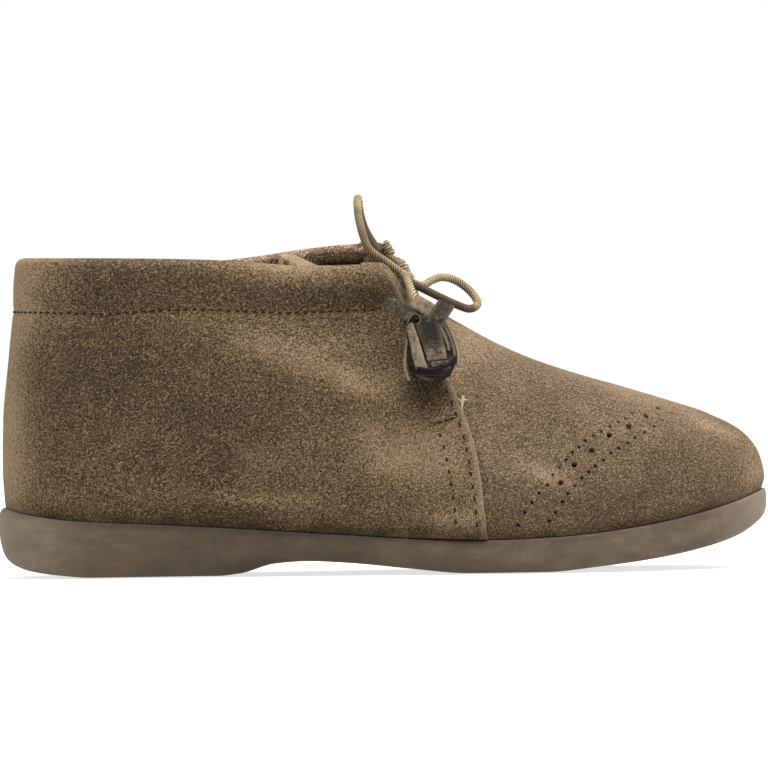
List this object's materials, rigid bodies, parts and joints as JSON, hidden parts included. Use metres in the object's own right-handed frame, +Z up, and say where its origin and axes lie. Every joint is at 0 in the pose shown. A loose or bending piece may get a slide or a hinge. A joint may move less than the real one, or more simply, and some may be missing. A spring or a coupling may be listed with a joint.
{
  "type": "lace-up ankle boot",
  "caption": "Low suede ankle boot for the right foot: rolled collar, quarters lapped over a punched vamp, cord lace in a bow with rolled leather tabs, moulded rubber sole.",
  "frame": {"origin": "on the floor, under the middle of the boot's box without the bow and its tabs", "axes": "+X towards the toe, +Y towards the inner side of the foot, +Z up"},
  "size_m": [0.2, 0.0805, 0.0983],
  "materials": {
    "sole_rubber": "matt, worn",
    "insole_board": "matt",
    "suede": "napped suede",
    "lace": "ribbed cord",
    "tab_leather": "worn, satin"
  },
  "bodies": {
    "root": {"outsole": "sole_rubber", "insole": "insole_board", "upper": "suede", "tongue": "suede", "lace_run_lateral": "lace", "lace_run_medial": "lace", "lace_stay_lateral": "lace", "lace_stay_medial": "lace", "lace_knot": "lace", "lace_loop_rear": "lace", "lace_loop_front": "lace", "lace_end_lateral": "lace", "lace_end_medial": "lace", "tab_lateral": "tab_leather", "tab_medial": "tab_leather"}
  },
  "joints": []
}
